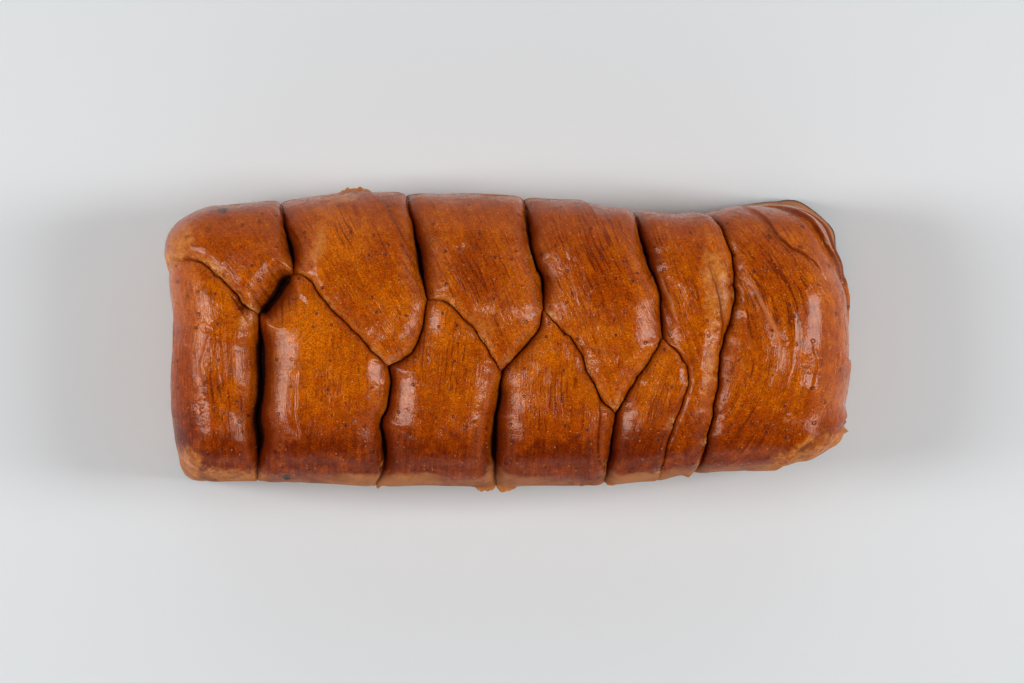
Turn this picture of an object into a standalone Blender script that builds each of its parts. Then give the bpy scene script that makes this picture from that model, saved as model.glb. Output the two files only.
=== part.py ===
"""A braided brioche loaf, baked in a tin: one solid, in metres, +Z up, standing on its flat base.

The crust is laid out flat first, as a sheet unrolled over the top, the shoulders and the walls. The
seams and folds of the braid are drawn on that sheet and it is triangulated along them. Then it is
wrapped round the loaf, and every strand crossing is raised between its seams.
X runs along the loaf, and +Y is the far side, whose strand crossings point towards the near side.
"""

import math

import bmesh
import bpy
import numpy as np
from mathutils.geometry import delaunay_2d_cdt

MM = 0.001

# Driving dimensions of the loaf.
LENGTH = 280 * MM
WIDTH = 119 * MM
HEIGHT = 86 * MM

# How far a strand crossing rises above the bottom of its seams, on top and against the tin.
CROWN_RISE = 10 * MM
WALL_RISE = 6 * MM

# The rounded edge between the top and the walls, and the one between the walls and the base.
SHOULDER_OUT = 14 * MM
SHOULDER_DROP = 20 * MM
SHOULDER_DROP_SLANT = 5 * MM
BASE_ROUND = 4 * MM

# How square the corners are seen from above, and how much squarer the base is at the near left.
CORNER_POWER = 2.7
BASE_CORNER_POWER = 2.5

# The walls lean in towards the base, but it sticks out at the near left and the far right corner, and
# like a foot along the walls beside the far right one.
WALL_LEAN = 2 * MM
NEAR_LEFT_FLARE = 4 * MM
FAR_RIGHT_FLARE = 3 * MM
FOOT = 5.5 * MM
FOOT_REACH = 27 * MM

# Lengths on the unrolled sheet. The wall is drawn shorter there than it is.
SHEET_SHOULDER = 26 * MM
SHEET_WALL = 24 * MM
SHEET_BASE = 4 * MM
SHEET_REACH = SHEET_SHOULDER + SHEET_WALL + SHEET_BASE

# Half sizes of the level middle of the top, and of the loaf at the bottom of the seams.
FLAT_X = LENGTH / 2 - WALL_RISE - SHOULDER_OUT
FLAT_Y = WIDTH / 2 - WALL_RISE - SHOULDER_OUT
SEAM_X = FLAT_X + SHOULDER_OUT
SEAM_Y = FLAT_Y + SHOULDER_OUT
TOP_Z = HEIGHT - CROWN_RISE

# How the top falls from its middle towards each edge: axis, direction, half size, fall, and the power
# with which the fall grows.
FALLS = (
    (1, 1, SEAM_Y, 9 * MM, 2.2),
    (1, -1, SEAM_Y, 3.5 * MM, 3),
    (0, -1, SEAM_X, 4 * MM, 4),
    (0, 1, SEAM_X, 6 * MM, 4),
)
FALL_REACH = 1.1

# Distance from a seam at which a crossing reaches its full height, on top and on the walls.
SEAM_REACH = 19 * MM
WALL_SEAM_REACH = 6.5 * MM
OVER_STEEPER = 1.45
UNDER_STEEPER = 0.85
ROUNDNESS = 2.1
# How deep a seam is on the walls as a share of its depth on top, and how much of that is lost lower down.
WALL_SEAM_SHARE = 0.38
WALL_SEAM_LOSS = 0.5
# How sharply the deepest of several seams wins over the others.
SEAM_MIX = 5
# How much flatter the crossings are at the edge of the base.
BASE_PRESS = 0.35

# Spacing of the mesh: along a seam, of the rows beside it, on top, on the walls and round the edge of the
# base. Points keep a share of their own step away from those placed before them.
SEAM_STEP = 3.2 * MM
ROW_OFFSETS = (1.5 * MM, 4 * MM)
ROW_ROOM = (1.2 * MM, 2.3 * MM)
TOP_STEP = 4.1 * MM
WALL_STEP = 6 * MM
RIM_STEP = 4.5 * MM
STEP_ROOM = 0.72
TOP_GRID_SHARE = 0.9
# Distances of the rings of points above the edge of the base, on the sheet.
BASE_RINGS = (1.5 * MM, 4 * MM, 8 * MM)
RING_ROOM = 1.2 * MM

# Edges of the mesh that turn by more than this stay sharp.
SHARP_DEGREES = 50

CRUST_COLOUR = (0.31, 0.09, 0.008, 1)
CRUST_ROUGHNESS = 0.35

# Outline of the crust seen from above, as pairs of millimetres: along the loaf, then out from its axis.
FAR_EDGE = ((-140, 51), (-130, 52.5), (-120, 54.5), (-95, 57), (-60, 60.5), (-20, 60), (25, 57.5), (45, 54),
            (70, 51), (84, 51.5), (98, 54), (125, 53.5), (140, 51))
NEAR_EDGE = ((-140, 58.5), (-130, 58), (-115, 57.5), (-97, 58), (-60, 59.5), (0, 60), (40, 59.5), (60, 57.5),
             (72, 55), (90, 53.5), (112, 52), (122, 49), (131, 45), (140, 42.5))
# The same for the two ends: across the loaf, then out from its middle.
LEFT_END = ((-60, 134.5), (-20, 137), (8, 136.5), (26, 138), (38, 140), (60, 138))
RIGHT_END = ((-60, 138), (-30, 138), (-8, 140), (15, 139), (30, 135.5), (45, 131.5), (60, 128))

# Where three crossings meet, in millimetres.
MEET_1 = (-101, 10.5)
MEET_2 = (-87, 26.5)
MEET_3 = (-48.5, -10.5)
MEET_4 = (-33, 15.5)
MEET_5 = (-2.5, -13)
MEET_6 = (14, 12.5)
MEET_7 = (43.5, -29.5)
MEET_8 = (62, 1)

# A place inside each crossing, in millimetres.
CROSSING_MIDDLES = {
    "far_1": (-115, 41), "far_2": (-64, 33), "far_3": (-13, 33), "far_4": (36, 25), "far_5": (75, 25),
    "near_1": (-120, -25), "near_2": (-77, -25), "near_3": (-28, -25), "near_4": (17, -29),
    "near_5": (56, -33), "end": (115, 0),
}

# A seam runs where two crossings meet: (over, under, path, depth share at its two ends). Where it
# runs down a wall, its last point names the wall and says where on it the seam ends.
SEAMS = (
    ("far_1", "near_1", [("left", 20), (-137, 27), (-131.5, 31.5), (-125, 31.5), (-115, 23.5), (-105.5, 14),
                         MEET_1], 0.2, 0.9),
    ("far_1", "far_2", [MEET_2, (-88, 35), (-91.5, 48), ("far", -97)], 1.0, 1.0),
    ("far_1", "near_2", [MEET_1, (-95, 17), (-91, 23.5), MEET_2], 1.0, 1.0),
    ("near_1", "near_2", [MEET_1, (-100.5, -6), (-100.5, -21), (-102, -31), (-101, -41), (-102, -52),
                          ("near", -104)], 1.0, 1.0),
    ("far_2", "near_2", [MEET_2, (-81, 24.5), (-73, 14.5), (-59.5, 1), MEET_3], 0.85, 0.85),
    ("far_2", "near_3", [MEET_3, (-40.5, -6.5), (-35.5, 1), MEET_4], 0.85, 0.85),
    ("near_2", "near_3", [MEET_3, (-47.5, -18), (-49, -27), (-51.5, -34), (-50, -48), (-53.5, -54),
                          ("near", -54)], 0.95, 1.0),
    ("far_2", "far_3", [MEET_4, (-36, 31), (-38, 43), (-40.5, 52), ("far", -43)], 0.9, 1.0),
    ("far_3", "near_3", [MEET_4, (-25.5, 15), (-17.5, 8.5), (-10, -0.5), MEET_5], 0.8, 0.85),
    ("far_3", "near_4", [MEET_5, (6, -3.5), (12, 3.5), MEET_6], 0.9, 0.9),
    ("near_3", "near_4", [MEET_5, (-4.5, -27), (-6, -41), (-4.5, -54), ("near", -3)], 1.0, 1.0),
    ("far_3", "far_4", [MEET_6, (13.5, 24), (9, 37), (6.5, 53), ("far", 5)], 0.9, 1.0),
    ("far_4", "near_4", [MEET_6, (22, 4), (29, -4), (36, -20), MEET_7], 0.75, 0.9),
    ("far_4", "near_5", [MEET_7, (50, -19), (57.5, -8), MEET_8], 0.9, 0.8),
    ("near_4", "near_5", [MEET_7, (42, -39), (40, -52), ("near", 38)], 0.95, 0.9),
    ("far_4", "far_5", [MEET_8, (61, 19), (56.5, 31), (52.5, 46), ("far", 51)], 0.9, 1.0),
    ("near_5", "far_5", [MEET_8, (70, -7), (73, -16), (69, -30), (64, -42), (61, -52), ("near", 60)],
     0.5, 0.15),
    ("far_5", "end", [("far", 79), (80.5, 49), (88, 40), (91, 28), (91, 14), (86, -5), (84, -22), (81, -38),
                      (76, -52), ("near", 73)], 0.7, 1.0),
)

# Folds inside one crossing: (path, height of its left side, height of its right side, width),
# in millimetres. Left and right are as one goes along the path. Between them is a slope, and the heights
# ease out towards both ends.
FOLD_SLOPE = 1.5 * MM
FOLD_END_POWER = 0.7
FOLDS = (
    ([(-59, 56), (-50, 48), (-42.5, 39), (-37.5, 33)], -1.2, 1.0, 4),
    ([(-71, 46), (-77, 31), (-74, 17)], 0.7, 0.7, 4),
    ([(62, 26), (67, 15), (70, 5)], 1.3, -0.8, 4),
    ([(87, 40), (94, 31), (102, 15), (107, 3), (109, -10)], 1.2, -1.0, 5),
    ([(117, 50), (123, 42), (131, 26), (136, 9), (135, -8)], 1.2, -1.0, 4),
    ([(104, -42), (116, -39), (126, -34), (134, -25)], 1.3, -2.2, 5),
)


def smooth_path(points, step):
    """Points about one step apart on a smooth curve through the given ones."""
    given = np.array(points, float)
    ends = np.vstack([2 * given[0] - given[1], given, 2 * given[-1] - given[-2]])
    found = [given[:1]]
    for a, b, c, d in zip(ends, ends[1:], ends[2:], ends[3:]):
        count = max(1, round(float(np.linalg.norm(c - b)) / step))
        t = (np.arange(1, count + 1) / count)[:, None]
        found.append(b + 0.5 * t * (c - a + t * (2 * a - 5 * b + 4 * c - d + t * (3 * b - a - 3 * c + d))))
    return np.vstack(found)


def smooth_steps(table, at):
    """Value of a (place, value) table at each place, eased between its entries."""
    places, values = np.array(table, float).T * MM
    at = np.clip(at, places[0], places[-1])
    index = np.clip(np.searchsorted(places, at) - 1, 0, len(places) - 2)
    t = (at - places[index]) / (places[index + 1] - places[index])
    t = t * t * (3 - 2 * t)
    return values[index] * (1 - t) + values[index + 1] * t


def outline_scale(x, y):
    """How much the loaf is stretched along X and Y at a place, so that it has the outline seen from above."""
    along = np.where(x > 0, smooth_steps(RIGHT_END, y), smooth_steps(LEFT_END, y)) / (LENGTH / 2)
    across = np.where(y > 0, smooth_steps(FAR_EDGE, x), smooth_steps(NEAR_EDGE, x)) / (WIDTH / 2)
    ease_x = np.clip(np.abs(x) / SEAM_X, 0, 1) ** 2
    ease_y = np.clip(np.abs(y) / SEAM_Y, 0, 1) ** 2
    return 1 + (along - 1) * ease_x, 1 + (across - 1) * ease_y


def to_sheet(points):
    """Places seen from above, in millimetres, as places on the unrolled sheet."""
    seen = np.array(points, float) * MM
    scale_x, scale_y = outline_scale(seen[:, 0], seen[:, 1])
    plan = np.stack([seen[:, 0] / scale_x, seen[:, 1] / scale_y], 1)
    middle = np.clip(plan, (-FLAT_X, -FLAT_Y), (FLAT_X, FLAT_Y))
    beyond = plan - middle
    out = (np.abs(beyond) ** CORNER_POWER).sum(1) ** (1 / CORNER_POWER)
    turn = np.arcsin(np.clip(out / SHOULDER_OUT, 0, 1)) / (math.pi / 2)
    length = np.maximum(np.linalg.norm(beyond, axis=1), 1e-9)
    return middle + beyond / length[:, None] * (turn * SHEET_SHOULDER)[:, None]


def wall_foot(side, place):
    """The place on the sheet's edge where a seam ends that has run down a wall."""
    return {
        "far": np.array([place * MM, FLAT_Y + SHEET_REACH]),
        "near": np.array([place * MM, -FLAT_Y - SHEET_REACH]),
        "left": np.array([-FLAT_X - SHEET_REACH, place * MM]),
    }[side]


def seam_on_sheet(path, step):
    """A seam's smooth line on the sheet, with its runs down the walls."""
    on_top = list(to_sheet([p for p in path if not isinstance(p[0], str)]))
    for at, mark in ((len(on_top), path[-1]), (0, path[0])):
        if isinstance(mark[0], str):
            on_top.insert(at, wall_foot(*mark))
    apart = [on_top[0]] + [b for a, b in zip(on_top, on_top[1:]) if np.linalg.norm(b - a) > MM]
    return smooth_path(apart, step)


def sheet_parts(sheet):
    """For places on the sheet: nearest point of the level middle, outward direction, and how far round the
    shoulder, down the wall and round the base they are, each from 0 to 1."""
    middle = np.clip(sheet, (-FLAT_X, -FLAT_Y), (FLAT_X, FLAT_Y))
    beyond = sheet - middle
    out = np.linalg.norm(beyond, axis=1)
    direction = beyond / np.maximum(out, 1e-9)[:, None]
    turn = np.clip(out / SHEET_SHOULDER, 0, 1)
    wall = np.clip((out - SHEET_SHOULDER) / SHEET_WALL, 0, 1)
    base = np.clip((out - SHEET_SHOULDER - SHEET_WALL) / SHEET_BASE, 0, 1)
    return middle, direction, turn, wall, base


def fall_of_top(plan):
    """How far the top has fallen at each place, and its slopes along X and Y."""
    total = np.zeros(len(plan))
    slopes = np.zeros((len(plan), 2))
    for axis, sign, half, fall, power in FALLS:
        share = np.clip(sign * plan[:, axis] / half, 0, FALL_REACH)
        total += fall * share**power
        slopes[:, axis] += sign * fall * power * share ** (power - 1) / half
    return total, slopes


def wrapped(sheet):
    """The sheet wrapped round the loaf at the depth of its seams: places, and the directions to rise in."""
    middle, direction, turn, wall, base = sheet_parts(sheet)
    angle = turn * math.pi / 2
    power = CORNER_POWER + BASE_CORNER_POWER * wall * (direction.max(1) < 0)
    size = np.maximum((np.abs(direction) ** power[:, None]).sum(1) ** (1 / power), 1e-9)
    diagonal = np.clip(2 * direction.prod(1), 0, 1)
    to_far_right = np.linalg.norm(middle - (FLAT_X, FLAT_Y), axis=1)
    flare = np.where(direction[:, 0] < 0, NEAR_LEFT_FLARE, FAR_RIGHT_FLARE) * diagonal
    flare += FOOT * np.exp(-((to_far_right / FOOT_REACH) ** 2)) - WALL_LEAN
    out = SHOULDER_OUT * np.sin(angle) + flare * wall - BASE_ROUND * (1 - np.cos(base * math.pi / 2))
    plan = middle + direction * (out / size)[:, None]
    fall, slopes = fall_of_top(plan)
    drop = SHOULDER_DROP + SHOULDER_DROP_SLANT * direction[:, 1]
    z = TOP_Z - fall - drop * (1 - np.cos(angle))
    z = z * (1 - wall) + BASE_ROUND * wall
    z = np.where(base > 0, BASE_ROUND * (1 - np.sin(base * math.pi / 2)), z)
    scale_x, scale_y = outline_scale(plan[:, 0], plan[:, 1])
    places = np.stack([plan[:, 0] * scale_x, plan[:, 1] * scale_y, z], 1)
    level = np.cos(angle)[:, None]
    rise = np.hstack([direction * np.sin(angle)[:, None] + slopes * level, level])
    rise[turn >= 1, 2] = 0
    return places, rise / np.linalg.norm(rise, axis=1)[:, None]


def nearest_on(line, points):
    """Distance from each point to a line, how far along the line that is, and on which side it lies."""
    best = np.full(len(points), np.inf)
    along = np.zeros(len(points))
    side = np.zeros(len(points))
    count = len(line) - 1
    for k in range(count):
        start, run = line[k], line[k + 1] - line[k]
        offset = points - start
        t = np.clip(offset @ run / (run @ run), 0, 1)
        away = offset - t[:, None] * run
        distance = np.hypot(away[:, 0], away[:, 1])
        closer = distance < best
        best[closer] = distance[closer]
        along[closer] = (k + t[closer]) / count
        side[closer] = np.sign(run[0] * offset[:, 1] - run[1] * offset[:, 0])[closer]
    return best, along, side


def beside(line, offset):
    """The line moved sideways by an offset, without its end points."""
    run = np.gradient(line, axis=0)
    normal = np.stack([-run[:, 1], run[:, 0]], 1) / np.linalg.norm(run, axis=1)[:, None]
    return (line + normal * offset)[1:-1]


def ring_points(reach, step):
    """A ring of points round the sheet, at one distance beyond its level middle. They are twice as far apart
    round its corners, which shrink when the sheet is wrapped."""
    ring = []
    turns = round(reach * math.pi / 2 / (2 * step))
    corners = np.array([(1, 1), (-1, 1), (-1, -1), (1, -1)]) * (FLAT_X, FLAT_Y)
    for k in range(4):
        angles = (k + np.arange(turns + 1) / turns) * math.pi / 2
        around = reach * np.stack([np.cos(angles), np.sin(angles)], 1)
        run = corners[(k + 1) % 4] - corners[k]
        count = round(np.linalg.norm(run) / step)
        share = (np.arange(1, count) / count)[:, None]
        ring += [corners[k] + around, corners[k] + around[-1] + share * run]
    return np.vstack(ring)


def beyond_flat(points):
    """Distance of each point of the sheet from its level middle."""
    return np.linalg.norm(points - np.clip(points, (-FLAT_X, -FLAT_Y), (FLAT_X, FLAT_Y)), axis=1)


def grid_points(step, lowest, highest):
    """Points of a triangular grid over the sheet whose distance beyond its level middle is in a range."""
    rows = np.arange(-FLAT_Y - SHEET_REACH, FLAT_Y + SHEET_REACH, step * math.sqrt(3) / 2)
    points = []
    for k, y in enumerate(rows):
        xs = np.arange(-FLAT_X - SHEET_REACH + (k % 2) * step / 2, FLAT_X + SHEET_REACH, step)
        points.append(np.stack([xs, np.full(len(xs), y)], 1))
    points = np.vstack(points)
    beyond = beyond_flat(points)
    return points[(beyond >= lowest) & (beyond < highest)]


def spread(points, kept_from, distance):
    """The points that are at least a distance from each of kept_from's points."""
    cells = {}
    for p in kept_from:
        cells.setdefault((int(p[0] // distance), int(p[1] // distance)), []).append(p)
    free = []
    for p in points:
        i, j = int(p[0] // distance), int(p[1] // distance)
        near = [q for a in (-1, 0, 1) for b in (-1, 0, 1) for q in cells.get((i + a, j + b), ())]
        if all((q[0] - p[0]) ** 2 + (q[1] - p[1]) ** 2 >= distance**2 for q in near):
            free.append(p)
    return np.array(free)


def lay_out(seams, folds):
    """Triangulates the sheet along its seams and folds: vertices, triangles, and the edges on a seam."""
    rim = ring_points(SHEET_REACH, RIM_STEP)
    fixed, edges = [rim], [(k, (k + 1) % len(rim)) for k in range(len(rim))]
    for line in seams + folds:
        first = sum(map(len, fixed))
        fixed.append(line)
        edges += [(first + k, first + k + 1) for k in range(len(line) - 1)]
    seam_edges = range(len(rim), len(rim) + sum(len(line) - 1 for line in seams))
    kept = np.vstack(fixed)
    for offset, room in zip(ROW_OFFSETS, ROW_ROOM):
        rows = np.vstack([beside(line, side * offset) for line in seams + folds for side in (-1, 1)])
        rows = rows[beyond_flat(rows) < SHEET_REACH - room]
        kept = np.vstack([kept, spread(rows, kept, room)])
    for distance in BASE_RINGS:
        ring = ring_points(SHEET_REACH - distance, RIM_STEP)
        kept = np.vstack([kept, spread(ring, kept, RING_ROOM)])
    top_end = SHEET_SHOULDER * TOP_GRID_SHARE
    for step, lowest, highest in (
        (TOP_STEP, 0, top_end),
        (WALL_STEP, top_end, SHEET_REACH - BASE_RINGS[-1]),
    ):
        grid = grid_points(step, lowest, highest)
        kept = np.vstack([kept, spread(grid, kept, STEP_ROOM * step)])
    made = delaunay_2d_cdt(kept.tolist(), edges, [], 0, 1e-6)
    places, triangles = np.array(made[0]), np.array(made[2])
    on_seam = {
        tuple(sorted(edge)) for edge, origin in zip(made[1], made[4]) if any(k in seam_edges for k in origin)
    }
    corners = places[triangles]
    side_1, side_2 = corners[:, 1] - corners[:, 0], corners[:, 2] - corners[:, 0]
    turned = side_1[:, 0] * side_2[:, 1] - side_1[:, 1] * side_2[:, 0] < 0
    triangles[turned] = triangles[turned][:, ::-1]
    return places, triangles, on_seam


def crossings_of(places, triangles, on_seam):
    """Which strand crossing each vertex belongs to, found by spreading over the triangles from seam to seam.
    A vertex on a seam belongs to none, -1."""
    names = sorted({name for seam in SEAMS for name in seam[:2]})
    owner = list(range(len(triangles)))

    def root(k):
        while owner[k] != k:
            owner[k] = owner[owner[k]]
            k = owner[k]
        return k

    seen = {}
    for k, triangle in enumerate(triangles):
        for a, b in zip(triangle, np.roll(triangle, -1)):
            edge = (min(a, b), max(a, b))
            if edge in seen and edge not in on_seam:
                owner[root(k)] = root(seen[edge])
            seen[edge] = k
    patches = np.array([root(k) for k in range(len(triangles))])
    centres = places[triangles].mean(1)
    label = np.full(len(places), -1)
    for k, name in enumerate(names):
        seed = to_sheet([CROSSING_MIDDLES[name]])[0]
        nearest = np.argmin(np.linalg.norm(centres - seed, axis=1))
        label[triangles[patches == patches[nearest]].ravel()] = k
    label[list({v for edge in on_seam for v in edge})] = -1
    return names, label


def bulge(share):
    """Height of a rounded edge from 0 to 1, at a share of its reach."""
    return (1 - (1 - np.clip(share, 0, 1)) ** ROUNDNESS) ** (1 / ROUNDNESS)


def relief(sheet, lines, folds, names, label):
    """How far each vertex rises above the bottom of the seams."""
    _, _, turn, wall, base = sheet_parts(sheet)
    on_wall = turn**2 * (3 - 2 * turn)
    reach = SEAM_REACH * (1 - on_wall) + WALL_SEAM_REACH * on_wall
    closeness = np.zeros(len(sheet))
    for (over, under, _, start, end), line in zip(SEAMS, lines):
        distance, along, _ = nearest_on(line, sheet)
        share = (1 - (1 - WALL_SEAM_SHARE) * on_wall) * (1 - WALL_SEAM_LOSS * wall)
        depth = (start + (end - start) * along) * share
        steeper = np.ones(len(sheet))
        steeper[label == names.index(over)] = OVER_STEEPER
        steeper[label == names.index(under)] = UNDER_STEEPER
        closeness += (depth * (1 - bulge(distance * steeper / reach))) ** SEAM_MIX
    closeness = np.minimum(closeness ** (1 / SEAM_MIX), 1)
    rise = CROWN_RISE * (1 - on_wall) + WALL_RISE * on_wall
    height = rise * (1 - closeness) * (1 - BASE_PRESS * base)
    for (_, left, right, width), line in zip(FOLDS, folds):
        distance, along, side = nearest_on(line, sheet)
        ends = np.clip(4 * along * (1 - along), 0, 1) ** FOLD_END_POWER
        share = 0.5 + 0.5 * np.tanh(side * distance / FOLD_SLOPE)
        amount = (left * share + right * (1 - share)) * MM
        height += amount * ends * np.exp(-distance / (width * MM)) * (1 - closeness) * (1 - wall)
    return height


def put_in_the_middle(form):
    """Moves the form so that the middle of its outline, seen from above, is at the origin."""
    places = np.array([vertex.co for vertex in form.verts])
    middle = (places.min(0) + places.max(0)) / 2
    bmesh.ops.translate(form, verts=form.verts, vec=(-middle[0], -middle[1], 0))


def make_loaf():
    """The whole loaf as one closed mesh: the wrapped crust, and the flat base that closes it."""
    lines = [seam_on_sheet(seam[2], SEAM_STEP) for seam in SEAMS]
    folds = [smooth_path(to_sheet(fold[0]), SEAM_STEP) for fold in FOLDS]
    sheet, triangles, on_seam = lay_out(lines, folds)
    names, label = crossings_of(sheet, triangles, on_seam)
    places, rise = wrapped(sheet)
    places += rise * relief(sheet, lines, folds, names, label)[:, None]
    mesh = bpy.data.meshes.new("brioche")
    mesh.from_pydata(places.tolist(), [], triangles.tolist())
    form = bmesh.new()
    form.from_mesh(mesh)
    rim = [edge for edge in form.edges if edge.is_boundary]
    for vertex in {vertex for edge in rim for vertex in edge.verts}:
        vertex.co.z = 0
    base = bmesh.ops.contextual_create(form, geom=rim)["faces"]
    bmesh.ops.triangulate(form, faces=base)
    bmesh.ops.recalc_face_normals(form, faces=form.faces)
    put_in_the_middle(form)
    form.to_mesh(mesh)
    form.free()
    mesh.shade_smooth()
    mesh.set_sharp_from_angle(angle=math.radians(SHARP_DEGREES))
    return bpy.data.objects.new("brioche", mesh)


def crust_material():
    """Egg-washed crust, baked dark."""
    material = bpy.data.materials.new("baked_crust")
    material.use_nodes = True
    shader = material.node_tree.nodes["Principled BSDF"]
    shader.inputs["Base Color"].default_value = CRUST_COLOUR
    shader.inputs["Roughness"].default_value = CRUST_ROUGHNESS
    shader.inputs["Metallic"].default_value = 0
    return material


def main():
    for old in list(bpy.data.objects):
        bpy.data.objects.remove(old)
    loaf = make_loaf()
    loaf.data.materials.append(crust_material())
    bpy.context.scene.collection.objects.link(loaf)


main()
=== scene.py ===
"""The looks of a braided brioche loaf: its crust in full detail, on a pale floor under soft side light.

As in the solid, the crust is laid out flat as an unrolled sheet, triangulated along the seams and folds of
the braid, wrapped round the loaf and raised between its seams. Here the sheet is much finer, with lips and
ragged, torn edges along its seams, small lumps and pits, and wrinkles along each strand.
"""

import math

import bpy
import numpy as np
from mathutils import Matrix, Vector
from mathutils.geometry import delaunay_2d_cdt


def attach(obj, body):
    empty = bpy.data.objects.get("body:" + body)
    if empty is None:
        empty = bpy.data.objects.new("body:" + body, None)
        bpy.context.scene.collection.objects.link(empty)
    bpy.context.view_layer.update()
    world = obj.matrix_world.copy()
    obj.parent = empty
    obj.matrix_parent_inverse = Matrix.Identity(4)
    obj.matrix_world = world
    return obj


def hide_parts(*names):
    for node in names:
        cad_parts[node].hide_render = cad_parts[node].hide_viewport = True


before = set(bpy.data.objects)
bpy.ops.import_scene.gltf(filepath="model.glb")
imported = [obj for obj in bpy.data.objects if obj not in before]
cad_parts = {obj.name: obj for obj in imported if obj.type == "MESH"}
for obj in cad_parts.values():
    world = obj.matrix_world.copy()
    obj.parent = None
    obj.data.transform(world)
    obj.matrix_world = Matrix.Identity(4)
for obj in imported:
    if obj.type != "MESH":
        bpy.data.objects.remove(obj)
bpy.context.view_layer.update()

MM = 0.001

# Sizes of the loaf, as in the solid.
LENGTH = 280 * MM
WIDTH = 119 * MM
HEIGHT = 86 * MM
CROWN_RISE = 10 * MM
WALL_RISE = 6 * MM
SHOULDER_OUT = 14 * MM
SHOULDER_DROP = 20 * MM
SHOULDER_DROP_SLANT = 5 * MM
BASE_ROUND = 4 * MM
# How square the corners are seen from above, and how much squarer the base is at the near left.
CORNER_POWER = 2.7
BASE_CORNER_POWER = 2.5
FALL_FAR, FALL_NEAR, FALL_LEFT, FALL_RIGHT = 9 * MM, 3.5 * MM, 4 * MM, 6 * MM
WALL_LEAN = 2 * MM
# How far the base sticks out at the near left and the far right corner, and in the walls beside the
# latter.
NEAR_LEFT_FLARE = 4 * MM
FAR_RIGHT_FLARE = 3 * MM
FOOT = 5.5 * MM
FOOT_REACH = 27 * MM

# Lengths on the unrolled sheet.
SHEET_SHOULDER = 26 * MM
SHEET_WALL = 24 * MM
SHEET_BASE = 4 * MM
SHEET_REACH = SHEET_SHOULDER + SHEET_WALL + SHEET_BASE
FLAT_X = LENGTH / 2 - WALL_RISE - SHOULDER_OUT
FLAT_Y = WIDTH / 2 - WALL_RISE - SHOULDER_OUT
SEAM_X = FLAT_X + SHOULDER_OUT
SEAM_Y = FLAT_Y + SHOULDER_OUT
TOP_Z = HEIGHT - CROWN_RISE

# The rounding of the crossings beside their seams.
SEAM_REACH = 19 * MM
WALL_SEAM_REACH = 6.5 * MM
OVER_STEEPER = 1.5
UNDER_STEEPER = 1
TIGHT_STEEPER = 1.8
WALL_SEAM_SHARE = 0.38
SEAM_MIX = 5
ROUNDNESS = 2.1
# The share of a seam's length over which its changes fade out at each end.
SEAM_ENDS = 0.15
# A point nearer than this to a seam is on it.
ON_LINE = 1e-6
# How far an upper crossing's lip leans over its seam, and how far from the seam it does so most.
LIP_LEAN = 1.1 * MM
LIP_PLACE = 1.3 * MM
LIP_WIDTH = 0.7 * MM
# The turn of the shoulder from which the crust is dull, on the near side and elsewhere.
DULL_FROM_NEAR = 0.52
DULL_FROM = 0.85
# How far the painted shade reaches beneath an upper crossing.
SHADE_REACH = 3.2 * MM
# How near a tight seam its lower crossing comes up, how fully, and how far its bottom has less painted shade.
TIGHT_REACH = 0.6 * MM
TIGHT_SHARE = 0.9
CLOSED_REACH = 3 * MM
# Half the width of the bottom of a seam that gapes, and how much deeper it is.
GAPE = 1.5 * MM
GAPE_DEPTH = 0.25
# How far a torn lip reaches, how rough it is, and the raggedness over which a lip tears.
TORN_REACH = 2.2 * MM
TORN_HEIGHT = 0.7 * MM
TORN_FROM = (0.8, 1.6)
# The part of the wall in which torn edges and patches fade out.
FADE_DOWN = (0, 0.3)
# How far the bare dough at the near right corner reaches.
BARE_REACH = 16 * MM

# Spacing of the sheet's points, before each triangle is split into four.
SEAM_STEP = 1.5 * MM
ROW_OFFSETS = (0.6 * MM, 1.5 * MM)
ROW_ROOM = (0.5 * MM, 0.8 * MM)
TOP_STEP = 1.72 * MM
WALL_STEP = 2.4 * MM
RIM_STEP = 2 * MM
BASE_RINGS = (0.8 * MM, 1.8 * MM, 3 * MM, 4.4 * MM)
# The flat base's grid: its half sizes, its spacing, and its distance from the rim.
BASE_GRID = (0.15, 0.07)
BASE_STEP = 7 * MM
BASE_ROOM = 3 * MM
# The base's value in the mask of the walls, which is 1 at their foot.
BASE_MASK = 1.2
# Strand coordinates for each metre.
STRAND_SCALE = 10

# The noise's random directions, and the factors that pick one of them for each place.
NOISE_ANGLES = 4096
NOISE_FACTORS = (73856093, 19349663)

FAR_EDGE = ((-140, 51), (-130, 52.5), (-120, 54.5), (-95, 57), (-60, 60.5), (-20, 60), (25, 57.5), (45, 54),
            (70, 51), (84, 51.5), (98, 54), (125, 53.5), (140, 51))
NEAR_EDGE = ((-140, 58.5), (-130, 58), (-115, 57.5), (-97, 58), (-60, 59.5), (0, 60), (40, 59.5), (60, 57.5),
             (72, 55), (90, 53.5), (112, 52), (122, 49), (131, 45), (140, 42.5))
LEFT_END = ((-60, 134.5), (-20, 137), (8, 136.5), (26, 138), (38, 140), (60, 138))
RIGHT_END = ((-60, 138), (-30, 138), (-8, 140), (15, 139), (30, 135.5), (45, 131.5), (60, 128))

# Where three crossings meet, in millimetres.
MEET_1 = (-101, 10.5)
MEET_2 = (-87, 26.5)
MEET_3 = (-48.5, -10.5)
MEET_4 = (-33, 15.5)
MEET_5 = (-2.5, -13)
MEET_6 = (14, 12.5)
MEET_7 = (43.5, -29.5)
MEET_8 = (62, 1)

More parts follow.
